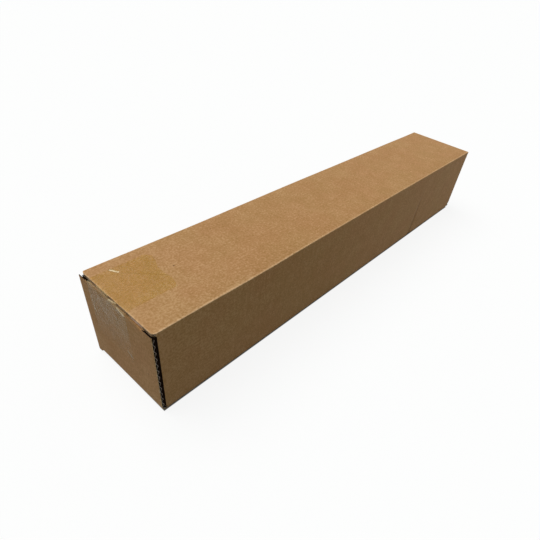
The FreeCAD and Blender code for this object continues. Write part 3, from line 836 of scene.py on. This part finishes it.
# from the low edge up the closing panel, over the rolled fold and the raw edge, and along the top
strip = bmesh.new()
face_x = NEAR - NEAR_PROUD
run = bent_line(strip, [(face_x + 0.23 - TAPE, 0, TAPE_LOW_Z, 0), (face_x - 0.09, 0, 79.5, 0.6),
                        (face_x + 0.42, 0, 81.2, 0.5), (NEAR - 0.05, 0, TAPE_TOP_Z, 0.5),
                        (NEAR + TAPE_REACH, 0, TAPE_TOP_Z, 0)], TAPE_MESH)
drawn(strip, run, (0, 1, 0), [(TAPE_BACK_Y - TAPE_FRONT_Y, TAPE_MESH)])
bmesh.ops.recalc_face_normals(strip, faces=strip.faces[:])
flat = strip.verts.layers.float_vector.new("flat_sheet")
strip.normal_update()
for v in strip.verts:
    v.co.y += TAPE_FRONT_Y
    y = v.co.y
    past = v.co.x - NEAR if v.co.z > HEIGHT else v.co.z - HEIGHT
    if past > 0:
        past *= torn_at(y) / TAPE_REACH
        v.co.x = NEAR + past
    crease_highlight_and_shade = 0
    lift = 0
    for start, end, reach, height, white in CREASES:
        near_line = swell(off_line((past, y), start, end), reach)
        lift = max(lift, height * near_line * min(1, abs(past) / 4))
        if abs(white * near_line) > abs(crease_highlight_and_shade):
            crease_highlight_and_shade = white * near_line
    v[flat] = (past * MM, y * MM, min(1, crease_highlight_and_shade))
    ripple = 1 + noise.noise(Vector((past / RIPPLE, y / RIPPLE, 7)))
    v.co += v.normal * (lift + RIPPLE_SIZE * ripple)
    # it rides over the rolled tuck fold, and follows the panel's lean
    roll = CREASE_ROLL_BACK * swell(y - FRONT - CREASE_ROLL_AT, CREASE_ROLL_REACH)
    v.co.z += roll * swell(past + 1.9, 1.7)
    v.co.x -= SKEW * (y - FRONT) * share((HEIGHT - v.co.z) / 1.8)
for v in strip.verts:
    x, y, z = handled(v.co)
    v.co = Vector((max(x, NEAR - NEAR_PROUD_BACK), min(y, TAPE_BACK_Y), min(z, TAPE_TOP_Z)))
strip.normal_update()
under = bmesh.ops.extrude_face_region(strip, geom=strip.faces[:], use_keep_orig=True)
for v in under["geom"]:
    if isinstance(v, bmesh.types.BMVert):
        v.co -= v.normal * TAPE
bmesh.ops.recalc_face_normals(strip, faces=strip.faces[:])

# Clear polypropylene film: glossy and smooth, with a yellow cast from its glue that deepens the
# kraft under it, whitish wherever air has got in under a crease, with a highlight painted along
# the crests of the creases and shade painted along the dark ones.
material = bpy.data.materials.new("clear_polypropylene_film")
material.use_nodes = True
tree = material.node_tree
tree.nodes.clear()
flat = add(tree, "ShaderNodeAttribute", attribute_name="flat_sheet")
parts = add(tree, "ShaderNodeSeparateXYZ", {0: flat.outputs["Vector"]})
place = add(tree, "ShaderNodeTexCoord")
# patches where the glue hasn't wetted the paper, 9 mm across, broken up by the fibres, 1 mm
patches = add(tree, "ShaderNodeTexNoise", {"Vector": place.outputs["Object"], "Scale": 1 / (9 * MM),
                                           "Detail": 2.0})
grain = add(tree, "ShaderNodeTexNoise", {"Vector": place.outputs["Object"], "Scale": 1 / (1.0 * MM),
                                         "Detail": 3.0})
dry = add(tree, "ShaderNodeMath", {0: patches.outputs["Fac"], 1: grain.outputs["Fac"]},
          operation="MULTIPLY")
haze = add(tree, "ShaderNodeMapRange", {0: dry.outputs[0], 1: 0.15, 2: 0.4, 3: 0.0, 4: 1.0})
# it stuck less well on the closing panel, least of all under the edge and towards the back
upright = add(tree, "ShaderNodeMath", {0: parts.outputs["X"], 1: -0.5 * MM}, operation="LESS_THAN")
loose = add(tree, "ShaderNodeMapRange", {0: parts.outputs["X"], 1: -42 * MM, 2: -18 * MM, 3: 0.1, 4: 1.0})
fade_along = add(tree, "ShaderNodeMapRange", {0: parts.outputs["Y"], 1: TAPE_FRONT_Y * MM, 2: 2 * MM,
                                          3: 0.35, 4: 1.0})
for factor in (loose, upright, fade_along):
    haze = add(tree, "ShaderNodeMath", {0: haze.outputs[0], 1: factor.outputs[0]}, operation="MULTIPLY")
# painted highlight along the creases, raggedly, with the whitening of air that got in under them; painted
# shade along the dark creases
ragged = add(tree, "ShaderNodeMapRange", {0: grain.outputs["Fac"], 1: 0.3, 2: 0.6, 3: 0.5, 4: 1.1})
film_crease_highlight = add(tree, "ShaderNodeMath", {0: parts.outputs["Z"], 1: ragged.outputs[0]}, operation="MULTIPLY",
              use_clamp=True)
film_crease_shade = add(tree, "ShaderNodeMath", {0: parts.outputs["Z"], 1: -1.0}, operation="MULTIPLY",
              use_clamp=True)
tint = add(tree, "ShaderNodeMix", {0: upright.outputs[0], 6: linear("#d3a200"), 7: linear("#e8c890")},
           data_type="RGBA")
for amount, mark in ((haze, "#f0dfba"), (film_crease_highlight, "#ffe6c2"), (film_crease_shade, "#4a3010")):
    tint = add(tree, "ShaderNodeMix", {0: amount.outputs[0], 6: tint.outputs[2], 7: linear(mark)},
               data_type="RGBA")
# how much of the board the film hides: the glue lies thicker and thinner, in patches 5 mm across,
# and the bridge over the gap has nothing behind it to stick to, and stays clear
cover = add(tree, "ShaderNodeMapRange", {0: parts.outputs["X"], 1: -52 * MM, 2: -12 * MM,
                                         3: 0.02, 4: 0.11})
coat = add(tree, "ShaderNodeTexNoise", {"Vector": place.outputs["Object"], "Scale": 1 / (5 * MM),
                                        "Detail": 2.0})
coat = add(tree, "ShaderNodeMapRange", {0: coat.outputs["Fac"], 1: 0.3, 2: 0.7, 3: 0.7, 4: 1.35})
cover = add(tree, "ShaderNodeMath", {0: cover.outputs[0], 1: coat.outputs[0]}, operation="MULTIPLY")
cover = add(tree, "ShaderNodeMath", {0: haze.outputs[0], 1: 0.07, 2: cover.outputs[0]},
            operation="MULTIPLY_ADD")
bridge = add(tree, "ShaderNodeMath", {0: parts.outputs["X"], 1: -0.6 * MM, 2: 0.7 * MM},
             operation="COMPARE")
clear = add(tree, "ShaderNodeMapRange", {0: bridge.outputs[0], 1: 0.0, 2: 1.0, 3: 1.0, 4: 0.2})
cover = add(tree, "ShaderNodeMath", {0: cover.outputs[0], 1: clear.outputs[0]}, operation="MULTIPLY")
cover = add(tree, "ShaderNodeMath", {0: film_crease_highlight.outputs[0], 1: 0.8, 2: cover.outputs[0]},
            operation="MULTIPLY_ADD", use_clamp=True)
cover = add(tree, "ShaderNodeMath", {0: film_crease_shade.outputs[0], 1: 0.6, 2: cover.outputs[0]},
            operation="MULTIPLY_ADD")
relief = add(tree, "ShaderNodeBump", {"Strength": 0.5, "Distance": 0.15 * MM,
                                      "Height": parts.outputs["Z"]})
film = add(tree, "ShaderNodeBsdfPrincipled", {"Base Color": tint.outputs[2], "Roughness": 0.28,
                                              "IOR": 1.49, "Alpha": cover.outputs[0],
                                              "Normal": relief.outputs[0]})
add(tree, "ShaderNodeOutputMaterial", {"Surface": film.outputs[0]})
tape = piece("packing_tape", strip, [material], "box")
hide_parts("sealing_tape")

({"cad": [list(corner) for corner in cad_box],
           "visual": [list(corner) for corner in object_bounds()]})
